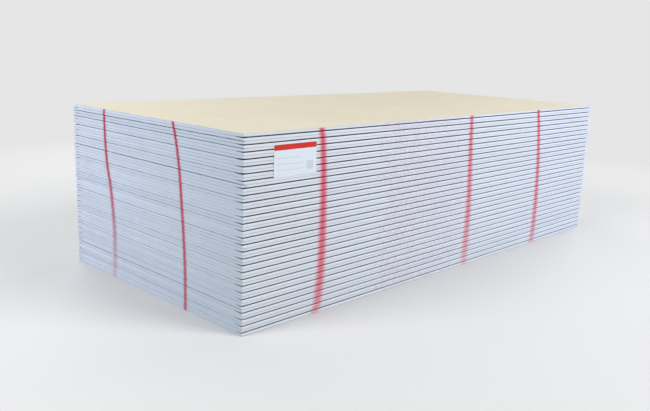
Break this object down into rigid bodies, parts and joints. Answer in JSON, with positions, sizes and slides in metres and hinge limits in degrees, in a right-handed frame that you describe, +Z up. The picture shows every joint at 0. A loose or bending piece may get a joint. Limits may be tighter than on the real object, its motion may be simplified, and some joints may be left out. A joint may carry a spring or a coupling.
{
  "type": "drywall sheet stack",
  "caption": "Level stack of full drywall sheets with tapered, paper-wrapped long edges, laid face to face, with spray-paint marks down its sides and a blank paper label.",
  "frame": {"origin": "middle of the base, on the floor", "axes": "+X along the sheets' length, +Y across their width, +Z up"},
  "size_m": [2.6032, 1.2012, 0.725],
  "materials": {
    "sheet": "matte paper on gypsum",
    "label": "smooth label paper"
  },
  "bodies": {
    "root": {"sheet_01": "sheet", "sheet_02": "sheet", "sheet_03": "sheet", "sheet_04": "sheet", "sheet_05": "sheet", "sheet_06": "sheet", "sheet_07": "sheet", "sheet_08": "sheet", "sheet_09": "sheet", "sheet_10": "sheet", "sheet_11": "sheet", "sheet_12": "sheet", "sheet_13": "sheet", "sheet_14": "sheet", "sheet_15": "sheet", "sheet_16": "sheet", "sheet_17": "sheet", "sheet_18": "sheet", "sheet_19": "sheet", "sheet_20": "sheet", "sheet_21": "sheet", "sheet_22": "sheet", "sheet_23": "sheet", "sheet_24": "sheet", "sheet_25": "sheet", "sheet_26": "sheet", "sheet_27": "sheet", "sheet_28": "sheet", "sheet_29": "sheet", "sheet_30": "sheet", "sheet_31": "sheet", "sheet_32": "sheet", "sheet_33": "sheet", "sheet_34": "sheet", "sheet_35": "sheet", "sheet_36": "sheet", "sheet_37": "sheet", "sheet_38": "sheet", "sheet_39": "sheet", "sheet_40": "sheet", "sheet_41": "sheet", "sheet_42": "sheet", "sheet_43": "sheet", "sheet_44": "sheet", "sheet_45": "sheet", "sheet_46": "sheet", "sheet_47": "sheet", "sheet_48": "sheet", "sheet_49": "sheet", "sheet_50": "sheet", "sheet_51": "sheet", "sheet_52": "sheet", "sheet_53": "sheet", "sheet_54": "sheet", "sheet_55": "sheet", "sheet_56": "sheet", "sheet_57": "sheet", "sheet_58": "sheet", "label": "label"}
  },
  "joints": []
}
